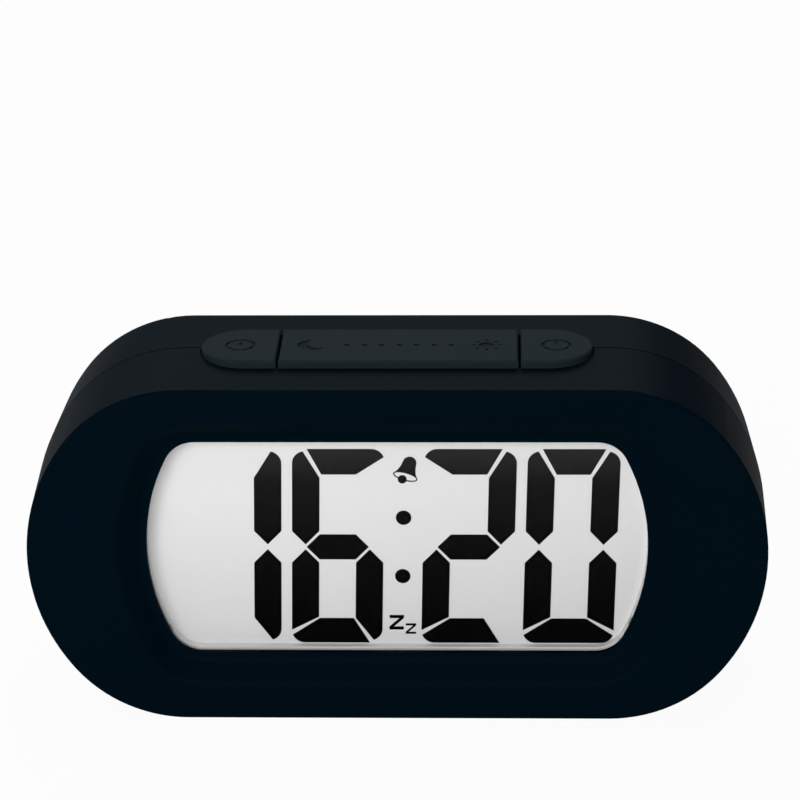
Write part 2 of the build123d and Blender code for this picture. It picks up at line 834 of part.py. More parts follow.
def make_keys():
    end_x = key_row_length / 2 + flange_reach
    half_gap = key_gap / 2
    hour_mark = Pos((hour_split_x - key_row_length / 2) / 2, 0) * dial_mark(hour_hand)
    minute_mark = Pos((minute_split_x + key_row_length / 2) / 2, 0) * dial_mark(minute_hand)
    board_end = key_row_length / 2 + key_board_margin
    board = block(
        -board_end, board_end, key_board_front_y, key_board_rear_y, key_board_bottom_z, key_board_top_z
    )
    screws = []
    for side in sides:
        x = side * shelf_x
        low, high = key_board_bottom_z - shelf_height + shelf_screw_spare, key_board_top_z
        board -= column(
            x, shelf_screw_y, small_screw_radius + board_hole_slack, key_board_bottom_z, high
        )
        screw = column(x, shelf_screw_y, small_screw_radius, low, high)
        screws.append(screw + column(x, shelf_screw_y, small_head_radius, high, high + small_head_height))
    return {
        "hour_key": make_key(-end_x, hour_split_x - half_gap, hour_switch_x, [hour_mark]),
        "snooze_key": make_key(
            hour_split_x + half_gap, minute_split_x - half_gap, snooze_switch_x, snooze_key_marks()
        ),
        "minute_key": make_key(minute_split_x + half_gap, end_x, minute_switch_x, [minute_mark]),
        "hour_plunger": make_plunger(hour_switch_x),
        "snooze_plunger": make_plunger(snooze_switch_x),
        "minute_plunger": make_plunger(minute_switch_x),
        "push_switches": Compound(
            [make_push_switch(x) for x in (hour_switch_x, snooze_switch_x, minute_switch_x)]
        ),
        "key_board": board,
        "key_board_screws": Compound(screws),
    }


def make_cell(side):
    """One cell whose raised end points the way of side."""
    z = mid_z + side * cell_pitch / 2
    tip = side * (bay_length / 2 - contact_thickness - contact_slack)
    shoulder = tip - side * nub_length
    end = tip - side * cell_length

    def along_x(radius, x_one, x_two):
        turned = Pos((x_one + x_two) / 2, cell_y, z) * Rotation(0, 90, 0)
        return turned * Cylinder(radius, abs(x_two - x_one))

    return along_x(cell_radius, end, shoulder) + along_x(nub_radius, shoulder, tip)


def contact_plate(end, z_from, z_to):
    inner = bay_length / 2 - contact_thickness
    x_from, x_to = sorted((end * inner, end * bay_length / 2))
    return block(x_from, x_to, cell_y - contact_depth / 2, cell_y + contact_depth / 2, z_from, z_to)


def contact_leaf(end, z):
    """A bowed strip that presses on the flat end of a cell."""
    inner = end * (bay_length / 2 - contact_thickness)
    bow = Circle(leaf_radius) - Circle(leaf_radius - contact_thickness)
    bow &= Pos(-end * leaf_radius, 0) * Rectangle(2 * leaf_radius, 2 * leaf_radius)
    return Pos(inner, cell_y, z - leaf_width / 2) * extrude(bow, amount=leaf_width)


def contact_tail(z):
    """The part of a contact that passes the bay floor to its lead."""
    x = bay_length / 2
    half = contact_tab / 2
    return block(
        x - contact_thickness, x, bay_front_y - contact_tail_length, cell_y - contact_depth / 2,
        z - half, z + half,
    )


def make_battery_parts():
    upper, lower = mid_z + cell_pitch / 2, mid_z - cell_pitch / 2
    half = contact_height / 2
    positive = contact_plate(1, upper - half, upper + half) + contact_tail(upper)
    negative = contact_plate(1, lower - half, lower + half) + contact_tail(lower)
    negative += contact_leaf(1, lower)
    bridge = contact_plate(-1, lower - half, upper + half) + contact_leaf(-1, upper)
    return {
        "cells": Compound([make_cell(side) for side in sides]),
        "positive_contact": positive,
        "negative_contact": negative,
        "bridge_contact": bridge,
    }


def make_battery_door():
    """A plate flush with the back, with two hooks below and a spring tab above."""
    door = prism(Pos(0, mid_z) * Rectangle(door_width, door_height), door_inner_y, rear_y)
    top = mid_z + door_height / 2
    for side in sides:
        x = side * (tab_width / 2 + tab_slit / 2)
        door -= block(x - tab_slit / 2, x + tab_slit / 2, 0, case_depth, top - tab_length, top)
        x = side * hook_x
        low, high = x - hook_width / 2, x + hook_width / 2
        hook_y = rear_inner_y - door_slack
        root_z = mid_z - bay_height / 2 + 2 * door_slack
        hook_low = door_bottom_z - door_slack - hook_reach + hook_slack
        door += block(low, high, hook_y - hook_thickness, hook_y, hook_low, root_z + hook_reach)
        door += block(low, high, hook_y, door_inner_y, root_z, root_z + hook_reach)
    grip = Pos(0, top) * Circle(notch_radius - grip_inset)
    return door - prism(grip, rear_y - notch_depth / 2, rear_y)


def make_knob(x, z):
    """A ribbed cap in the pocket, with a stem through the wall into its switch."""
    cap_y = pocket_floor_y + knob_slack
    cap = Pos(x, z) * RectangleRounded(knob_length, knob_height, knob_corner)
    knob = prism(cap, cap_y, cap_y + knob_thickness)
    floor_y = cap_y + knob_thickness - groove_depth
    reach = knob_height / 2 - groove_inset
    for place in range(-grooves, grooves + 1):
        low = x + place * groove_pitch - groove_width / 2
        knob -= block(low, low + groove_width, floor_y, rear_y, z - reach, z + reach)
    return knob + prism(Pos(x, z) * Rectangle(stem_length, stem_height), cap_y - stem_reach, cap_y)


def make_slide_body(z, travel):
    low = slide_body_y - slide_body_depth
    centre = Pos(control_x, z)
    body = prism(centre * Rectangle(slide_body_length, slide_body_height), low, slide_body_y)
    slot = centre * Rectangle(stem_length + travel + 2 * stem_slack, stem_height + 2 * stem_slack)
    floor = pocket_floor_y + knob_slack - stem_reach - stem_slack
    return body - prism(slot, floor, slide_body_y)


def make_controls():
    set_z, alarm_z = mid_z + control_rise, mid_z - control_rise
    board_face = Pos(control_x, mid_z) * Rectangle(control_board_width, control_board_height)
    board = prism(board_face, control_board_y, control_board_y + board_thickness)
    screws = []
    for x, z in control_post_places():
        board -= post(
            x, z, small_screw_radius + board_hole_slack, control_board_y,
            control_board_y + board_thickness,
        )
        screws.append(
            screw_along_y(
                x, z, control_board_y, small_screw_radius,
                board_thickness + control_hole_depth - hole_spare, small_head_radius,
                small_head_height, 1,
            )
        )
    return {
        "set_knob": make_knob(control_x, set_z),
        "alarm_knob": make_knob(control_x - alarm_travel / 2, alarm_z),
        "set_switch": make_slide_body(set_z, 2 * set_travel),
        "alarm_switch": make_slide_body(alarm_z, alarm_travel),
        "control_board": board,
        "control_screws": Compound(screws),
    }


def make_buzzer():
    middle_y = buzzer_y - buzzer_thickness
    return {
        "buzzer_disc": post(buzzer_x, mid_z, buzzer_radius, middle_y, buzzer_y),
        "buzzer_ceramic": post(buzzer_x, mid_z, ceramic_radius, middle_y - ceramic_thickness, middle_y),
    }


def run_wire(points, section):
    """A section swept along straight runs with rounded bends."""
    path = FilletPolyline(*points, radius=lead_bend)
    start = Plane(origin=path @ 0, z_dir=path % 0, x_dir=(1, 0, 0))
    return sweep(start * section, path=path)


def make_wiring():
    tail_x = bay_length / 2 - contact_thickness / 2
    tail_y = bay_front_y - contact_tail_length
    bend_y = (tail_y + board_back_y) / 2
    leads = {}
    for name, side in (("red_lead", 1), ("black_lead", -1)):
        z = mid_z + side * cell_pitch / 2
        end_x = tail_x + lead_step
        points = [(tail_x, tail_y, z), (tail_x, bend_y, z), (end_x, bend_y, z), (end_x, board_back_y, z)]
        leads[name] = run_wire(points, Circle(lead_radius))
    pair = []
    ceramic_y = buzzer_y - buzzer_thickness - ceramic_thickness
    disc_x = buzzer_x + (buzzer_radius + ceramic_radius) / 2
    for x, y in ((buzzer_x, ceramic_y), (disc_x, buzzer_y - buzzer_thickness)):
        pair.append(post(x, mid_z, buzzer_lead_radius, board_back_y, y))
    leads["buzzer_leads"] = Compound(pair)
    y, bend_z = board_back_y + key_ribbon_reach, key_board_bottom_z - key_ribbon_drop
    points = [(0, y, key_board_bottom_z), (0, y, bend_z), (0, board_back_y, bend_z)]
    leads["key_ribbon"] = run_wire(points, Rectangle(key_ribbon_width, ribbon_thickness))
    turn_y = (control_board_y + board_back_y) / 2
    points = [(control_x, control_board_y, mid_z), (control_x, turn_y, mid_z)]
    end_x = control_x + lead_step
    points += [(end_x, turn_y, mid_z), (end_x, board_back_y, mid_z)]
    leads["control_ribbon"] = run_wire(points, Rectangle(ribbon_thickness, control_ribbon_width))
    return leads


def make_case_screws():
    screws = []
    for x, z in case_boss_places():
        screws.append(
            screw_along_y(
                x, z, rear_boss_web, case_screw_radius, rear_boss_web + case_screw_reach,
                case_head_radius, case_head_height, -1,
            )
        )
    return Compound(screws)


pieces = {
    "front_shell": make_front_shell(),
    "rear_shell": make_rear_shell(),
    **make_display(),
    **make_main_board(),
    **make_keys(),
    **make_battery_parts(),
    "battery_door": make_battery_door(),
    **make_controls(),
    **make_buzzer(),
    **make_wiring(),
    "case_screws": make_case_screws(),
}

os.makedirs("parts", exist_ok=True)
for name, piece in pieces.items():
    export_step(piece, f"parts/{name}.step")
    box = piece.bounding_box()
    print(f"{name}: {len(piece.solids())} solid(s), {piece.volume:.2f} mm3, "
          f"{box.size.X:.2f} x {box.size.Y:.2f} x {box.size.Z:.2f} mm")
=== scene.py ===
# %% [markdown]
# # Dressing a desk alarm clock
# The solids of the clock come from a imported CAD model: two soft-skinned case halves, three keys,
# a display behind a clear lens, and the works inside. This lesson gives each of them a finish and
# makes a few repeating pieces again with more detail. Nothing is moved, because the solids already
# stand where the real pieces do.

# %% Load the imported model
import json
from itertools import product
from math import cos, radians, sin

import bpy
from mathutils import Matrix, Vector


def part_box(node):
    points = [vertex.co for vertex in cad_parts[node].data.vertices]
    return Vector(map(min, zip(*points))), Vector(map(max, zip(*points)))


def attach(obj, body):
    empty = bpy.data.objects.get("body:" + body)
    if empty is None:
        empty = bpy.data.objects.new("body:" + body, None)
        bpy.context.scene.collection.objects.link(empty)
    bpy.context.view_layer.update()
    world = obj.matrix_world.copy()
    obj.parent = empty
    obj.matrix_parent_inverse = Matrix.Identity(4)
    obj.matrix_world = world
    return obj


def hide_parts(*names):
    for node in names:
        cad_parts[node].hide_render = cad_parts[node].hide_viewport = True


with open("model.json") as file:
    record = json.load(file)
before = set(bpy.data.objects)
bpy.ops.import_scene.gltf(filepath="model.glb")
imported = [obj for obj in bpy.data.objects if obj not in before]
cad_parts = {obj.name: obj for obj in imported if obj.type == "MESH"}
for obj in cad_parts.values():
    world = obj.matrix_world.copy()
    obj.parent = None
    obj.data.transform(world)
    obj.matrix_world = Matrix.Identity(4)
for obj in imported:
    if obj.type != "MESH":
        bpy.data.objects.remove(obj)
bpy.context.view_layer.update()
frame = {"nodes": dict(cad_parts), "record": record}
nodes = frame["nodes"]
mm = 0.001
for plain in list(bpy.data.materials):
    bpy.data.materials.remove(plain)

# %% [markdown]
# The camera stands where the photographer stood: a little above the clock and a little to its right,
# far away with a long lens, so that the ends hardly converge. A camera could be aimed with a
# constraint, but a matrix built from three axes also holds the slight tilt of the picture.

# %% Camera
camera_height = radians(21.999)
camera_turn = radians(2.0335)
camera_tilt = radians(0.7527)
camera_distance = 580.396 * mm
camera_target = Vector((0.3827, 0.0, 55.9014)) * mm
camera_near = 0.01
focal_length = 141.22
sensor_width = 36.0

back = Vector((
    sin(camera_turn) * cos(camera_height),
    -cos(camera_turn) * cos(camera_height),
    sin(camera_height),
))
level = Vector((cos(camera_turn), sin(camera_turn), 0.0))
upright = back.cross(level)
right = cos(camera_tilt) * level - sin(camera_tilt) * upright
up = sin(camera_tilt) * level + cos(camera_tilt) * upright

lens = bpy.data.cameras.new("studio_camera")
lens.lens = focal_length
lens.sensor_width = sensor_width
lens.clip_start = camera_near
camera = bpy.data.objects.new("studio_camera", lens)
camera.matrix_world = Matrix((
    (right.x, up.x, back.x, 0.0),
    (right.y, up.y, back.y, 0.0),
    (right.z, up.z, back.z, 0.0),
    (0.0, 0.0, 0.0, 1.0),
))
camera.location = camera_target + camera_distance * back
bpy.context.scene.collection.objects.link(camera)
bpy.context.scene.camera = camera
print("camera at", [round(v, 3) for v in camera.location])

# %% [markdown]
# Every finish below is a small node tree. Wiring nodes by hand hides the idea in the wiring, so one
# class stands for a tree and one for a socket in it. Sums on a socket then read as sums, and each
# operator adds the Math node that does it.

# %% Helpers for shader trees
def screen(red, green, blue):
    """A colour as it shows on a screen, from 0 to 255, as the linear values that shaders use."""
    linear = []
    for part in (red, green, blue):
        part = part / 255
        linear.append(part / 12.92 if part <= 0.04045 else ((part + 0.055) / 1.055) ** 2.4)
    return (*linear, 1.0)


def scaled(colour, amount):
    """A colour made lighter or darker by one amount."""
    return (*[min(1.0, part * amount) for part in colour[:3]], 1.0)


class Field:
    """A socket that gives a value over a surface."""

    def __init__(self, tree, socket):
        self.tree = tree
        self.socket = socket

    def math(self, operation, *values):
        return self.tree.node("ShaderNodeMath", {"operation": operation}, dict(enumerate(values)))

    def __add__(self, other):
        return self.math("ADD", self, other)

    def __radd__(self, other):
        return self.math("ADD", other, self)

    def __sub__(self, other):
        return self.math("SUBTRACT", self, other)

    def __rsub__(self, other):
        return self.math("SUBTRACT", other, self)

    def __neg__(self):
        return 0 - self

    def __mul__(self, other):
        return self.math("MULTIPLY", self, other)

    def __rmul__(self, other):
        return self.math("MULTIPLY", other, self)

    def __truediv__(self, other):
        return self.math("DIVIDE", self, other)

    def __gt__(self, other):
        return self.math("GREATER_THAN", self, other)

    def __lt__(self, other):
        return self.math("LESS_THAN", self, other)

    def __abs__(self):
        return self.math("ABSOLUTE", self)

    def either(self, other):
        return self.math("MAXIMUM", self, other)

    def power(self, other):
        return self.math("POWER", self, other)

    def fraction(self):
        return self.math("FRACT", self)

    def between(self, low, high):
        """0 at low, 1 at high, and a soft step from one to the other."""
        settings = {"interpolation_type": "SMOOTHSTEP"}
        return self.tree.node("ShaderNodeMapRange", settings, {0: self, 1: low, 2: high})


class Tree:
    """A node tree, with a method that adds a node and a few that make use of it."""

    def __init__(self, node_tree):
        self.nodes = node_tree.nodes
        self.links = node_tree.links
        self.nodes.clear()

    def node(self, kind, settings=None, inputs=None, output=0):
        """Adds a node, sets its settings and then its sockets, and gives one of its outputs."""
        node = self.nodes.new(kind)
        for name, value in (settings or {}).items():
            if name == "stops":
                self.set_ramp(node.color_ramp.elements, value)
            else:
                setattr(node, name, value)
        for name, value in (inputs or {}).items():
            for part in value if isinstance(value, list) else [value]:
                if isinstance(part, Field):
                    self.links.new(part.socket, node.inputs[name])
                else:
                    node.inputs[name].default_value = part
        return Field(self, node.outputs[output]) if len(node.outputs) else node

    def set_ramp(self, elements, stops):
        """Fills a colour ramp, which has two elements to begin with."""
        while len(elements) < len(stops):
            elements.new(1.0)
        for element, (position, colour) in zip(elements, stops):
            element.position = position
            element.color = colour

    def split(self, vector):
        """The three parts of a vector."""
        return [self.node("ShaderNodeSeparateXYZ", None, {0: vector}, axis) for axis in range(3)]

    def vector(self, x, y, z):
        return self.node("ShaderNodeCombineXYZ", None, {0: x, 1: y, 2: z})


class Finish(Tree):
    """The tree of a material or of the world."""

    def __init__(self, owner):
        owner.use_nodes = True
        super().__init__(owner.node_tree)
        self.owner = owner

    def spot(self):
        """The place on the object, as a vector in metres."""
        return self.node("ShaderNodeTexCoord", output="Object")

    def place(self):
        """The place on the object, as three fields in metres."""
        return self.split(self.spot())

    def facing(self):
        """The direction that the surface faces, as three fields."""
        return self.split(self.node("ShaderNodeTexCoord", output="Normal"))

    def noise(self, scale, detail=2.0, stretch=(1.0, 1.0, 1.0)):
        spot = self.node("ShaderNodeMapping", None, {"Vector": self.spot(), "Scale": stretch})
        return self.node("ShaderNodeTexNoise", None, {"Vector": spot, "Scale": scale, "Detail": detail})

    def mix(self, factor, first, second):
        """Two colours mixed: the first where factor is 0, the second where it is 1."""
        return self.node("ShaderNodeMix", {"data_type": "RGBA"}, {0: factor, 6: first, 7: second}, 2)

    def shades(self, factor, colour, darkest, lightest):
        """One colour scaled by an amount that runs from darkest to lightest with factor."""
        return self.mix(factor, scaled(colour, darkest), scaled(colour, lightest))

    def greys(self, factor, tones):
        """Screen greys, each at its share of the way that factor goes from 0 to 1."""
        stops = [(share, screen(tone, tone, tone)) for share, tone in tones]
        return self.node("ShaderNodeValToRGB", {"stops": stops}, {0: factor})

    def bump(self, height, distance, strength):
        inputs = {"Height": height, "Distance": distance, "Strength": strength}
        return self.node("ShaderNodeBump", None, inputs)

    def surface(self, **sockets):
        """A Principled surface; a socket's name is written with _ for each space."""
        inputs = {name.replace("_", " "): value for name, value in sockets.items()}
        return self.node("ShaderNodeBsdfPrincipled", None, inputs)

    def show(self, shader):
        """Puts a shader on the material, or all round in the world."""
        kind = "World" if isinstance(self.owner, bpy.types.World) else "Material"
        self.node(f"ShaderNodeOutput{kind}", None, {"Surface": shader})
        return self.owner


print("helpers ready")

# %% [markdown]
# The clock stands on a plain pale floor between four soft boxes. The strongest is in front and a little
# to the left, so that the slopes round the display show their shape. Farther to the left it would throw
# the window's edge across the display. The box low on the left only gives that side of the case its
# grey. The floor is a matte surface, and to the camera it is mostly plain white, so the picture has a
# white ground that still keeps the shadow under the clock. The light on the clock doesn't change by that.

# %% Studio
white = (1.0, 1.0, 1.0, 1.0)
floor_grey = (0.8, 0.8, 0.8, 1.0)
floor_white_share = 0.95  # of what the camera sees of the floor
floor_half = 3.0
floor_drop = 0.1 * mm  # keeps the floor clear of the clock's base
fill_strength = 0.18
aim = Vector((0.0, 0.0, 0.03))


def seen_directly(tree):
    """1 for rays from the camera or through glass, and 0 for rays that carry light."""
    straight, through = [
        tree.node("ShaderNodeLightPath", output=f"Is {kind} Ray") for kind in ("Camera", "Transmission")
    ]
    return straight.either(through)


def floor_finish():
    tree = Finish(bpy.data.materials.new("studio_floor"))
    matte = tree.node("ShaderNodeBsdfDiffuse", None, {"Color": floor_grey})
    glow = tree.node("ShaderNodeEmission", None, {"Color": white, "Strength": 1.0})
    share = seen_directly(tree) * floor_white_share
    return tree.show(tree.node("ShaderNodeMixShader", None, {0: share, 1: matte, 2: glow}))


def fill_air(world):
    """Weak light from all round, in front of a white ground."""
    tree = Finish(world)
    fill = tree.node("ShaderNodeBackground", None, {"Color": white, "Strength": fill_strength})
    ground = tree.node("ShaderNodeBackground", None, {"Color": white, "Strength": 1.0})
    tree.show(tree.node("ShaderNodeMixShader", None, {0: seen_directly(tree), 1: fill, 2: ground}))


def soft_box(name, place, width, depth, power):
    """A rectangular lamp that faces the clock, in metres and watts."""
    lamp = bpy.data.lights.new(name, "AREA")
    lamp.shape = "RECTANGLE"
    lamp.size = width
    lamp.size_y = depth
    lamp.energy = power
    box = bpy.data.objects.new(name, lamp)
    box.location = place
    box.rotation_euler = (aim - Vector(place)).to_track_quat("-Z", "Y").to_euler()
    bpy.context.scene.collection.objects.link(box)


floor_mesh = bpy.data.meshes.new("studio_floor")
corners = [(x * floor_half, y * floor_half, -floor_drop) for x, y in ((-1, -1), (1, -1), (1, 1), (-1, 1))]
floor_mesh.from_pydata(corners, [], [(0, 1, 2, 3)])
floor_mesh.materials.append(floor_finish())
floor = bpy.data.objects.new("studio_floor", floor_mesh)
bpy.context.scene.collection.objects.link(floor)

bpy.context.scene.world = bpy.data.worlds.new("studio_air")
fill_air(bpy.context.scene.world)
soft_box("front_soft_box", (-0.33, -1.25, 0.5), width=1.0, depth=0.8, power=13.3)
soft_box("top_soft_box", (0.1, 0.2, 1.4), width=1.2, depth=1.0, power=4.0)
soft_box("back_soft_box", (-0.35, 1.25, 0.9), width=1.8, depth=0.8, power=12.0)
soft_box("side_soft_box", (-1.1, 0.9, 0.3), width=0.8, depth=0.5, power=2.0)
bpy.context.scene.view_settings.view_transform = "Standard"
print("studio ready")

# %% [markdown]
# The case is moulded plastic under a soft rubbery skin. The skin is nearly black with a blue cast,
# drinks up light seen square on, and only turns grey where it is seen at a glancing angle. A low index
# of refraction does that. A fine grain in the bump and a slow drift in the roughness keep it from
# looking like paint on glass.

# %% Soft skin of the case
skin_index = 1.05
skin_grain_scale = 2600.0
skin_grain = 0.2
grain_depth = 0.02 * mm  # of the fine grain on this and most other finishes


def case_skin_finish():
    tree = Finish(bpy.data.materials.new("case_skin"))
    drift = tree.noise(30.0, detail=3.0)
    fine = tree.noise(skin_grain_scale)
    return tree.show(tree.surface(
        Base_Color=tree.shades(drift, screen(1, 14, 23), 0.88, 1.12),
        Roughness=0.45 + 0.1 * drift,
        IOR=skin_index,
        Normal=tree.bump(fine, grain_depth, skin_grain),
    ))


case_skin = case_skin_finish()
print("finish", case_skin.name)

# %% [markdown]
# The keys have the same skin, a little greyer. Their marks are sunk in by a quarter of a
# millimetre. The floor of a mark is told from the rest of the key by its height, and gets a darker
# tone, painted shade as if the hollow of the mark held shadow, so that the mark reads from a step away.

# %% Skin of the keys
key_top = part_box("snooze_key")[1].z
half_mark_depth = 0.12 * mm
level_from = 0.97  # upward part of a level face's direction


def key_skin_finish():
    tree = Finish(bpy.data.materials.new("key_skin"))
    drift = tree.noise(40.0, detail=3.0)
    fine = tree.noise(skin_grain_scale)
    height = tree.place()[2]
    upward = tree.facing()[2]
    # painted shade: the floor of each mark gets a darker colour, as if its hollow held shadow
    mark_painted_shade = (height < key_top - half_mark_depth) * (upward > level_from)
    hue = tree.shades(drift, screen(30, 40, 44), 0.94, 1.06)
    return tree.show(tree.surface(
        Base_Color=tree.mix(mark_painted_shade, hue, screen(22, 32, 36)),
        Roughness=0.5 + 0.08 * drift,
        IOR=skin_index,
        Normal=tree.bump(fine, grain_depth, skin_grain),
    ))


key_skin = key_skin_finish()
print("finish", key_skin.name, "with its marks below", round(key_top / mm, 2), "mm")

# %% [markdown]
# The display is a sandwich. In front is a clear lens, which mostly lets light through and gives back
# a faint gloss. Behind it a pale moulded ring hides the edges of the glass. The glass carries a film
# that looks pale grey. Its colour is painted darker towards the bottom and the right: painted shade for
# the window's edges and for the way the display dims with the angle it is seen at, with a painted
# shadow of the window's lower edge along the very bottom. The dark figures are painted lighter
# towards the top, a painted glare of the lens.

# %% Display
glass_low, glass_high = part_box("display_front_glass")
lens_gloss_share = 0.025
# film tones by height are painted shade: darker towards the bottom, darkest at the very bottom as a
# painted shadow of the window's lower edge
film_painted_shade_tones = ((0.0, 222), (0.03, 231), (0.2, 236), (0.5, 243), (0.8, 248), (1.0, 245))
# painted shade towards the right end of the film
film_painted_side_shade = 0.12  # of the darker grey at the right end
film_cloud_share = 0.04
# figure tones by height are painted glare: lighter towards the top
ink_painted_glare_tones = ((0.0, 0), (0.16, 4), (0.5, 11), (0.84, 24), (1.0, 48))
display_grain_scale = 900.0


def display_lens_finish():
    tree = Finish(bpy.data.materials.new("clear_lens"))
    gloss = tree.surface(
        Base_Color=(0.02, 0.02, 0.02, 1.0),
        Roughness=0.08 + 0.03 * tree.noise(60.0),
        IOR=1.49,
    )
    clear = tree.node("ShaderNodeBsdfTransparent")
    return tree.show(tree.node("ShaderNodeMixShader", None, {0: lens_gloss_share, 1: clear, 2: gloss}))


def display_film_finish():
    tree = Finish(bpy.data.materials.new("display_glass"))
    place = tree.place()
    rise = place[2].between(glass_low.z, glass_high.z)
    side = place[0].between(glass_low.x, glass_high.x)
    cloud = tree.noise(90.0, detail=3.0)
    # painted shade: the film darker towards the bottom, with a painted shadow along the lowest edge
    hue = tree.greys(rise, film_painted_shade_tones)
    # painted shade: the film darker towards the right
    hue = tree.mix(side * film_painted_side_shade, hue, screen(170, 170, 170))
    hue = tree.mix(cloud * film_cloud_share, hue, screen(200, 202, 204))
    rough = 0.5 + 0.1 * tree.noise(display_grain_scale)
    return tree.show(tree.surface(Base_Color=hue, Roughness=rough, IOR=1.2))


def display_ink_finish():
    tree = Finish(bpy.data.materials.new("display_ink"))
    rise = tree.place()[2].between(glass_low.z, glass_high.z)
    # painted glare: the figures lighter towards the top
    hue = tree.greys(rise, ink_painted_glare_tones)
    rough = 0.5 + 0.1 * tree.noise(display_grain_scale)
    return tree.show(tree.surface(Base_Color=hue, Roughness=rough, IOR=1.03))


def pale_plastic_finish():
    tree = Finish(bpy.data.materials.new("pale_plastic"))
    drift = tree.noise(120.0, detail=3.0)
    fine = tree.noise(3000.0)
    return tree.show(tree.surface(
        Base_Color=tree.mix(drift, screen(226, 227, 227), screen(240, 240, 238)),
        Roughness=0.4 + 0.1 * drift,
        IOR=1.3,
        Normal=tree.bump(fine, grain_depth, 0.2),
    ))


clear_lens = display_lens_finish()
display_film = display_film_finish()
display_ink = display_ink_finish()
pale_plastic = pale_plastic_finish()
print("finishes of the display ready")

# %% [markdown]
# The rest are everyday finishes of small plastic, metal and rubber pieces. One function makes moulded
# plastic, and one makes metal with fine lines along one direction. Noise that is stretched along an
# axis looks like the marks that rolling, drawing or brushing leaves.

# %% Plastics, metals and rubbers
def moulded(name, colour, roughness, index=1.45):
    tree = Finish(bpy.data.materials.new(name))
    drift = tree.noise(150.0, detail=3.0)
    fine = tree.noise(3200.0)
    return tree.show(tree.surface(
        Base_Color=tree.shades(drift, colour, 0.88, 1.12),
        Roughness=roughness - 0.05 + 0.1 * drift,
        IOR=index,
        Normal=tree.bump(fine, grain_depth, 0.15),
    ))


def drawn_metal(name, colour, roughness, stretch):
    tree = Finish(bpy.data.materials.new(name))
    lines = tree.noise(900.0, detail=3.0, stretch=stretch)
    tarnish = tree.noise(220.0, detail=4.0).between(0.55, 0.8)
    hue = tree.shades(lines, colour, 0.85, 1.1)
    return tree.show(tree.surface(
        Base_Color=tree.mix(tarnish * 0.35, hue, scaled(colour, 0.55)),
        Metallic=1.0,
        Roughness=roughness - 0.08 + 0.16 * lines,
        Normal=tree.bump(lines, 0.01 * mm, 0.25),
    ))


knob_plastic = moulded("knob_plastic", screen(34, 37, 40), 0.45, index=1.25)
switch_black = moulded("switch_black", screen(28, 28, 30), 0.4)
plunger_plastic = moulded("plunger_plastic", screen(68, 68, 71), 0.4)
black_tape = moulded("black_tape", screen(22, 22, 22), 0.6)
red_sleeve = moulded("red_sleeve", screen(176, 28, 26), 0.35)
black_sleeve = moulded("black_sleeve", screen(26, 26, 27), 0.35)
plated_steel = drawn_metal("plated_steel", (0.62, 0.61, 0.58, 1.0), 0.3, stretch=(1.0, 0.1, 1.0))
screw_steel = drawn_metal("screw_steel", (0.5, 0.5, 0.51, 1.0), 0.32, stretch=(1.0, 1.0, 0.3))
print("plastics, metals and rubbers ready")

# %% [markdown]
# Circuit boards are green where a lacquer covers the fibre board, lighter where copper runs beneath
# it, and pale where bare spots are tinned. Tracks could be drawn one by one. A cell pattern gives the
# same impression from a few nodes: the seams between its cells are the tracks, and the middles of
# larger cells are the spots.

# %% Boards and what is on them
part_pitch = 4.0 * mm  # of the small parts in a row
tin_start = 0.6 * mm  # from the middle of a small part to its tinned ends
stripe_pitch = 0.5 * mm


def cell_pattern(tree, scale, randomness, **settings):
    inputs = {"Vector": tree.spot(), "Scale": scale, "Randomness": randomness}
    return tree.node("ShaderNodeTexVoronoi", settings, inputs)


def board_finish():
    tree = Finish(bpy.data.materials.new("board_green"))
    track = 1 - cell_pattern(tree, 260.0, 0.55, feature="DISTANCE_TO_EDGE").between(0.05, 0.1)
    tinned = cell_pattern(tree, 130.0, 0.7, distance="CHEBYCHEV").between(0.1, 0.08)
    hue = tree.mix(track * 0.65, screen(22, 84, 52), screen(46, 124, 80))
    height = track + 0.2 * tree.noise(2500.0)
    return tree.show(tree.surface(
        Base_Color=tree.mix(tinned, hue, screen(196, 190, 172)),
        Roughness=0.3 + 0.15 * tree.noise(300.0),
        IOR=1.5,
        Normal=tree.bump(height, 0.03 * mm, 0.4),
    ))


def resin_finish():
    tree = Finish(bpy.data.materials.new("black_resin"))
    ripple = tree.noise(320.0, detail=1.0)
    return tree.show(tree.surface(
        Base_Color=tree.mix(ripple, screen(14, 14, 15), screen(30, 30, 31)),
        Roughness=0.12 + 0.1 * ripple,
        IOR=1.5,
        Normal=tree.bump(ripple, 0.3 * mm, 0.3),
    ))


def small_part_finish():
    tree = Finish(bpy.data.materials.new("chip_parts"))
    from_middle = abs((tree.place()[0] / part_pitch + 0.5).fraction() - 0.5) * part_pitch
    tinned = from_middle > tin_start
    speck = tree.noise(2500.0)
    hue = tree.mix(speck, screen(120, 92, 66), screen(150, 120, 90))
    return tree.show(tree.surface(
        Base_Color=tree.mix(tinned, hue, screen(200, 200, 198)),
        Metallic=tinned * 0.9,
        Roughness=0.3 + 0.15 * speck,
    ))


def strip_finish():
    tree = Finish(bpy.data.materials.new("strip_rubber"))
    stripe = (tree.place()[0] / stripe_pitch).fraction() > 0.5
    return tree.show(tree.surface(
        Base_Color=tree.mix(stripe, screen(58, 58, 62), screen(176, 178, 184)),
        Roughness=0.55 + 0.1 * tree.noise(800.0),
        IOR=1.4,
    ))


board_green = board_finish()
black_resin = resin_finish()
chip_parts = small_part_finish()
strip_rubber = strip_finish()
print("boards ready")

# %% [markdown]
# Behind the glass a clear plate carries the light of two small lamps along the display. A field of
# white dots printed on its back scatters the light forward, and a white sheet behind it sends back
# what slips through. The dots come from a cell pattern with no disorder in it.

# %% Light plate, sheet and lamps
lamp_window = 1.1 * mm  # half the height of the yellow window in a lamp
lamp_window_edge = 1.3 * mm


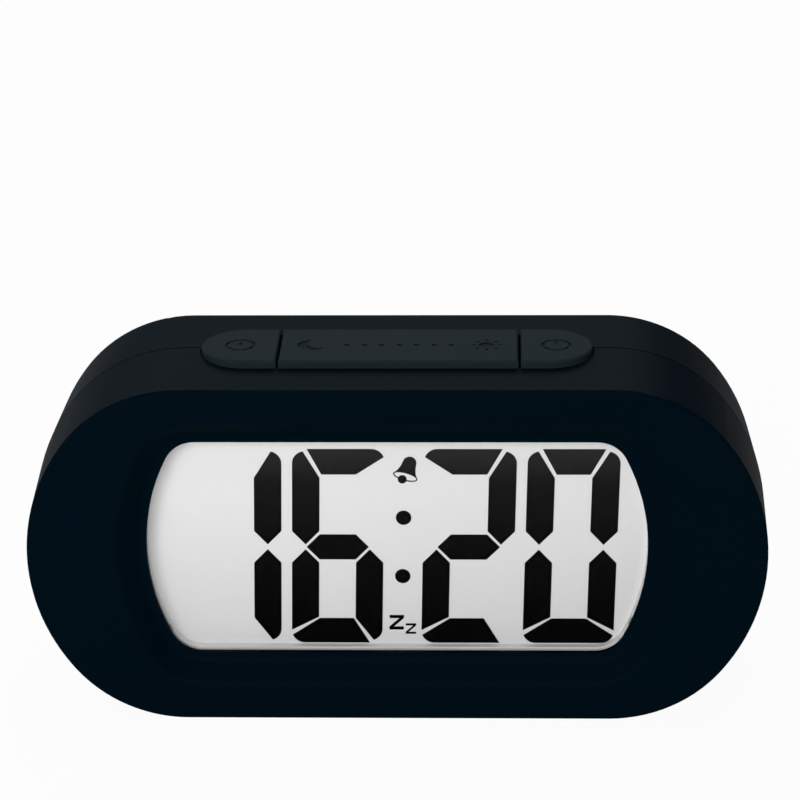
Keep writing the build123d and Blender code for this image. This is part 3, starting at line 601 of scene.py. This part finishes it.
def light_plate_finish():
    tree = Finish(bpy.data.materials.new("clear_acrylic"))
    dots = 1 - cell_pattern(tree, 700.0, 0.0).between(0.25, 0.32)
    return tree.show(tree.surface(
        Base_Color=tree.mix(dots, screen(206, 216, 220), screen(250, 250, 250)),
        Roughness=0.12 + 0.4 * dots,
        IOR=1.49,
    ))


def sheet_finish():
    tree = Finish(bpy.data.materials.new("white_sheet"))
    fibre = tree.noise(700.0, detail=5.0, stretch=(0.3, 1.0, 1.0))
    return tree.show(tree.surface(
        Base_Color=tree.mix(fibre, screen(232, 232, 230), screen(248, 248, 246)),
        Roughness=0.75 + 0.1 * fibre,
        Normal=tree.bump(fibre, grain_depth, 0.3),
    ))


def lamp_finish():
    tree = Finish(bpy.data.materials.new("lamp_white"))
    middle = (glass_low.z + glass_high.z) / 2
    window = abs(tree.place()[2] - middle).between(lamp_window_edge, lamp_window)
    return tree.show(tree.surface(
        Base_Color=tree.mix(window, screen(240, 239, 232), screen(236, 214, 120)),
        Roughness=0.25 + 0.1 * tree.noise(900.0),
        IOR=1.5,
    ))


clear_acrylic = light_plate_finish()
white_sheet = sheet_finish()
lamp_white = lamp_finish()
print("light plate ready")

# %% [markdown]
# Each cell is a steel can in a plain printed sleeve with a bright band at one end. The two cells lie
# head to tail, so the band is on opposite ends, and the upper and lower half of the bay tell which.
# The buzzer is a thin brass disc with a silvered ceramic disc on it.

# %% Cells and buzzer
cell_low, cell_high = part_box("cells")
band_start = 9.0 * mm
band_full = 9.2 * mm
bare_end = 1.2 * mm  # of the can, past the sleeve
end_face_from = 0.7  # lengthwise part of an end face's direction


def cell_finish():
    tree = Finish(bpy.data.materials.new("cell_wrap"))
    place = tree.place()
    lengthwise = abs(tree.facing()[0])
    upper = place[2] > (cell_low.z + cell_high.z) / 2
    along = place[0] * (2 * upper - 1)
    band = along.between(band_start, band_full)
    can = (lengthwise > end_face_from).either(abs(place[0]) > cell_high.x - bare_end)
    scuff = tree.noise(260.0, detail=4.0)
    sleeve = tree.mix(band, screen(64, 70, 76), screen(196, 158, 92))
    sleeve = tree.mix(scuff.between(0.6, 0.8) * 0.3, sleeve, screen(150, 150, 148))
    return tree.show(tree.surface(
        Base_Color=tree.mix(can, sleeve, screen(206, 205, 200)),
        Metallic=0.25 + 0.75 * can,
        Roughness=0.26 + 0.12 * scuff,
    ))


def silvered_finish():
    tree = Finish(bpy.data.materials.new("buzzer_white"))
    speck = tree.noise(1400.0, detail=4.0)
    return tree.show(tree.surface(
        Base_Color=tree.mix(speck, screen(214, 211, 202), screen(236, 234, 228)),
        Roughness=0.4 + 0.2 * speck,
        Normal=tree.bump(speck, grain_depth, 0.3),
    ))


cell_wrap = cell_finish()
buzzer_brass = drawn_metal("buzzer_brass", (0.72, 0.55, 0.22, 1.0), 0.28, stretch=(1.0, 1.0, 0.08))
buzzer_white = silvered_finish()
print("cells and buzzer ready")

# %% [markdown]
# Flat cables are grey, and the wire at one edge is red, so that nobody turns a plug the wrong way. The
# edge is found from the place: the left edge of the cable to the keys, and the top edge of the cable
# to the slide switches, which lies farther to the right.

# %% Flat cable sleeve
wire_radius = 0.3 * mm
between_cables = 20.0 * mm


def ribbon_finish():
    tree = Finish(bpy.data.materials.new("grey_ribbon"))
    place = tree.place()
    keys_edge = place[0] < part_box("key_ribbon")[0].x + 2 * wire_radius
    switches_edge = place[2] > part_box("control_ribbon")[1].z - 2 * wire_radius
    red_wire = keys_edge.either((place[0] > between_cables) * switches_edge)
    drift = tree.noise(300.0, detail=3.0)
    fine = tree.noise(3000.0)
    hue = tree.mix(drift, screen(158, 159, 161), screen(182, 183, 185))
    return tree.show(tree.surface(
        Base_Color=tree.mix(red_wire, hue, screen(172, 34, 32)),
        Roughness=0.4 + 0.1 * drift,
        IOR=1.45,
        Normal=tree.bump(fine, grain_depth, 0.2),
    ))


grey_ribbon = ribbon_finish()
print("finish", grey_ribbon.name)

# %% [markdown]
# Screws and flat cables are the same thing over and over, so Geometry Nodes make them. A node group
# is built once, with its sizes as named inputs, and then used with other numbers for each set. The
# class below makes such a group, runs it on a small starting mesh, and keeps the result as a plain
# mesh, so that nothing live is left on the piece.

# %% Helper for Geometry Nodes
sharp_angle = radians(35)


class Shape(Tree):
    """A Geometry Nodes group whose sizes are named inputs."""

    def __init__(self, name, sizes):
        self.group = bpy.data.node_groups.new(name, "GeometryNodeTree")
        super().__init__(self.group)
        sockets = self.group.interface
        sockets.new_socket("Result", in_out="OUTPUT", socket_type="NodeSocketGeometry")
        self.keys = {}
        for title, kind in {"Start": "Geometry", "Finish": "Material", **sizes}.items():
            socket = sockets.new_socket(title, in_out="INPUT", socket_type="NodeSocket" + kind)
            self.keys[title] = socket.identifier
        entry = self.nodes.new("NodeGroupInput")
        self.size = {title: Field(self, entry.outputs[title]) for title in self.keys}

    def raised(self, geometry, z):
        way = self.vector(0.0, 0.0, z)
        return self.node("GeometryNodeTransform", None, {"Geometry": geometry, "Translation": way})

    def swept(self, route, radius, sides):
        """A solid bar with so many sides along a route."""
        profile = {"Resolution": sides, "Radius": radius}
        profile = self.node("GeometryNodeCurvePrimitiveCircle", {"mode": "RADIUS"}, profile)
        inputs = {"Curve": route, "Profile Curve": profile, "Fill Caps": True}
        return self.node("GeometryNodeCurveToMesh", None, inputs)

    def close(self, geometry):
        """Makes instances real, smooths all but the sharp edges and sets the finish."""
        real = self.node("GeometryNodeRealizeInstances", None, {0: geometry})
        angle = self.node("GeometryNodeInputMeshEdgeAngle")
        round_face = {0: real, "Shade Smooth": True}
        smooth = self.node("GeometryNodeSetShadeSmooth", {"domain": "FACE"}, round_face)
        sharp = {0: smooth, "Selection": angle > sharp_angle, "Shade Smooth": False}
        edged = self.node("GeometryNodeSetShadeSmooth", {"domain": "EDGE"}, sharp)
        finished = {"Geometry": edged, "Material": self.size["Finish"]}
        done = self.node("GeometryNodeSetMaterial", None, finished)
        self.node("NodeGroupOutput", None, {0: done})

    def make(self, name, points, edges, finish, **sizes):
        """A plain mesh object from starting points and sizes; a size's name is written with _."""
        start = bpy.data.meshes.new(name)
        start.from_pydata(points, edges, [])
        piece = bpy.data.objects.new(name, start)
        bpy.context.scene.collection.objects.link(piece)
        modifier = piece.modifiers.new(name, "NODES")
        modifier.node_group = self.group
        modifier[self.keys["Finish"]] = finish
        for title, value in sizes.items():
            modifier[self.keys[title.replace("_", " ")]] = value
        evaluated = piece.evaluated_get(bpy.context.evaluated_depsgraph_get())
        mesh = bpy.data.meshes.new_from_object(evaluated)
        piece.modifiers.remove(modifier)
        piece.data = mesh
        return piece


print("Geometry Nodes helper ready")

# %% [markdown]
# The screws have a pan head with a cross recess and a rolled thread. A screw could be modelled once and
# copied, but four sets differ in size and direction. So the group narrows a cylinder to a domed head,
# cuts the cross out of it, winds the thread as a spiral along the shank, and puts a screw on each point.
# Crest and head stay within the plain shank and head of the solid that they stand for.

# %% Screw group
head_sides = 40
head_rings = 8
dome_share = 0.35  # by which the top of the head is narrower
dome_power = 3.5  # the larger, the later the head narrows
arm_length = 1.2  # of the cross, in radii of the head
arm_width = 0.3
arm_depth = 1.2  # in heights of the head, half of it over the top
shank_sides = 24
core_share = 0.78  # of the shank's radius, left under the thread
neck_share = 0.2  # of the head's height, filled by the core
ridge_sides = 4
tip_length = 1.05  # in radii of the shank
tip_root = 0.97  # in radii of the core
tip_end = 0.35


def screw_head(shape, radius, height):
    """A dome with a cross cut into it, standing on the level of its seat."""
    dome = shape.node("GeometryNodeMeshCylinder", {"fill_type": "NGON"}, {
        "Vertices": head_sides, "Side Segments": head_rings, "Radius": radius, "Depth": height,
    })
    dome = shape.raised(dome, height / 2)
    x, y, z = shape.split(shape.node("GeometryNodeInputPosition"))
    narrowing = 1 - dome_share * (z / height).power(dome_power)
    domed = shape.vector(x * narrowing, y * narrowing, z)
    dome = shape.node("GeometryNodeSetPosition", None, {"Geometry": dome, "Position": domed})
    arms = []
    for across, along in ((arm_length, arm_width), (arm_width, arm_length)):
        size = shape.vector(radius * across, radius * along, height * arm_depth)
        arms.append(shape.raised(shape.node("GeometryNodeMeshCube", None, {"Size": size}), height))
    settings = {"operation": "DIFFERENCE", "solver": "EXACT"}
    return shape.node("GeometryNodeMeshBoolean", settings, {"Mesh 1": dome, "Mesh 2": arms})


def screw_shank(shape, radius, reach, neck, pitch):
    """Core, tip and thread below the seat; the core's neck reaches into the head."""
    core_radius = radius * core_share
    thread_length = reach - radius
    core = shape.node("GeometryNodeMeshCylinder", {"fill_type": "NGON"}, {
        "Vertices": shank_sides, "Radius": core_radius, "Depth": thread_length + neck,
    })
    tip = shape.node("GeometryNodeMeshCone", {"fill_type": "NGON"}, {
        "Vertices": shank_sides, "Depth": radius * tip_length,
        "Radius Bottom": core_radius * tip_end, "Radius Top": core_radius * tip_root,
    })
    winding = shape.node("GeometryNodeCurveSpiral", None, {
        "Resolution": shank_sides, "Rotations": thread_length / pitch, "Start Radius": core_radius,
        "End Radius": core_radius, "Height": thread_length,
    })
    thread = shape.swept(winding, radius - core_radius, ridge_sides)
    return [
        shape.raised(core, (neck - thread_length) / 2),
        shape.raised(tip, -reach),
        shape.raised(thread, -thread_length),
    ]


def screw_group():
    shape = Shape("screw", {
        "Shank Radius": "Float", "Reach": "Float", "Head Radius": "Float", "Head Height": "Float",
        "Pitch": "Float", "Turn": "Vector",
    })
    size = shape.size
    head = screw_head(shape, size["Head Radius"], size["Head Height"])
    neck = size["Head Height"] * neck_share
    shank = screw_shank(shape, size["Shank Radius"], size["Reach"], neck, size["Pitch"])
    whole = shape.node("GeometryNodeJoinGeometry", None, {"Geometry": [head, *shank]})
    turn = shape.node("FunctionNodeEulerToRotation", None, {0: size["Turn"]})
    shape.close(shape.node("GeometryNodeInstanceOnPoints", None, {
        "Points": size["Start"], "Instance": whole, "Rotation": turn,
    }))
    return shape


screw = screw_group()
print("screw group with", len(screw.nodes), "nodes")

# %% [markdown]
# The solids already hold a plain screw at each place. Their box gives the places: a head's radius in
# from the box's corners, and a head's height below its top. The case screws are reached from the back
# through deep wells, so only their heads ever show.

# %% Screws in their places
def fit_screws(node, facing, shank_radius, head_radius, head_height, pitch):
    """A screw for each plain one in the node, with the heads facing one way."""
    low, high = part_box(node)
    seats = []
    for axis in range(3):
        if facing[axis] > 0:
            seats.append([high[axis] - head_height])
        elif facing[axis] < 0:
            seats.append([low[axis] + head_height])
        else:
            seats.append(sorted({round(low[axis] + head_radius, 6), round(high[axis] - head_radius, 6)}))
    reach = abs((high - low).dot(Vector(facing))) - head_height
    turn = Vector((0, 0, 1)).rotation_difference(Vector(facing)).to_euler()
    piece = screw.make(
        f"{node}_threaded", list(product(*seats)), [], screw_steel, Shank_Radius=shank_radius, Reach=reach,
        Head_Radius=head_radius, Head_Height=head_height, Pitch=pitch, Turn=tuple(turn),
    )
    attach(piece, "case")
    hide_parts(node)
    print(piece.name, len(piece.data.vertices), "points")


# Shank radius, head radius, head height and pitch
case_screw = (1.3 * mm, 2.5 * mm, 1.8 * mm, 0.9 * mm)
small_screw = (0.9 * mm, 1.9 * mm, 1.3 * mm, 0.6 * mm)
fit_screws("case_screws", (0, 1, 0), *case_screw)
fit_screws("board_screws", (0, 1, 0), *small_screw)
fit_screws("control_screws", (0, -1, 0), *small_screw)
fit_screws("key_board_screws", (0, 0, 1), *small_screw)

# %% [markdown]
# Two flat cables join the boards. A flat cable is a row of thin wires whose sleeves are melted
# together, so the group rounds the corners of the route, draws one wire along it and lays copies
# side by side. The route comes from the solid's box: half a thickness in from its faces.

# %% Flat cables
key_wires = 24
control_wires = 16
wire_sides = 10
cable_bend = 1.5 * mm
bend_points = 8


def cable_group():
    shape = Shape("flat_cable", {
        "Wire Radius": "Float", "Wires": "Int", "Bend": "Float", "First": "Vector", "Step": "Vector",
    })
    size = shape.size
    route = shape.node("GeometryNodeMeshToCurve", None, {"Mesh": size["Start"]})
    route = shape.node("GeometryNodeFilletCurve", {"mode": "POLY"}, {
        "Curve": route, "Count": bend_points, "Radius": size["Bend"], "Limit Radius": True,
    })
    wire = shape.swept(route, size["Wire Radius"], wire_sides)
    row = shape.node("GeometryNodeMeshLine", {"mode": "OFFSET"}, {
        "Count": size["Wires"], "Start Location": size["First"], "Offset": size["Step"],
    })
    shape.close(shape.node("GeometryNodeInstanceOnPoints", None, {"Points": row, "Instance": wire}))
    return shape


def lay_cable(node, points, across, wires):
    """A flat cable of so many wires along the points, side by side in the direction of across."""
    low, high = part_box(node)
    across = Vector(across)
    step = across * ((high - low).dot(across) - 2 * wire_radius) / (wires - 1)
    edges = [(place, place + 1) for place in range(len(points) - 1)]
    piece = cable.make(
        f"{node}_wires", points, edges, grey_ribbon, Wire_Radius=wire_radius, Wires=wires, Bend=cable_bend,
        First=tuple(step * (1 - wires) / 2), Step=tuple(step),
    )
    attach(piece, "case")
    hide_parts(node)
    print(piece.name, "of", wires, "wires,", len(piece.data.vertices), "points")


cable = cable_group()
low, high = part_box("key_ribbon")
drop_y, turn_z = high.y - wire_radius, low.z + wire_radius
points = [(drop_y, high.z), (drop_y, turn_z), (low.y, turn_z)]
lay_cable("key_ribbon", [(0, y, z) for y, z in points], (1, 0, 0), key_wires)
low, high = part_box("control_ribbon")
middle = (low + high) / 2
start_x, end_x = low.x + wire_radius, high.x - wire_radius
points = [(start_x, high.y), (start_x, middle.y), (end_x, middle.y), (end_x, low.y)]
lay_cable("control_ribbon", [(x, y, middle.z) for x, y in points], (0, 0, 1), control_wires)

# %% [markdown]
# Every solid that stays gets its finish here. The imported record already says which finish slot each
# node belongs to, so the finishes are kept under those names and nothing is listed twice.

# %% Give the solids their finishes
outside = (case_skin, key_skin, knob_plastic, clear_lens, pale_plastic)
display = (display_film, display_ink, clear_acrylic, white_sheet, lamp_white, strip_rubber, black_tape)
boards = (board_green, black_resin, chip_parts, switch_black, plunger_plastic, screw_steel)
works = (cell_wrap, plated_steel, buzzer_brass, buzzer_white, red_sleeve, black_sleeve, grey_ribbon)
finishes = {material.name: material for material in outside + display + boards + works}
for subpart in frame["record"]["subparts"]:
    mesh = nodes[subpart["node"]].data
    mesh.materials.clear()
    mesh.materials.append(finishes[subpart["material_slot"]])
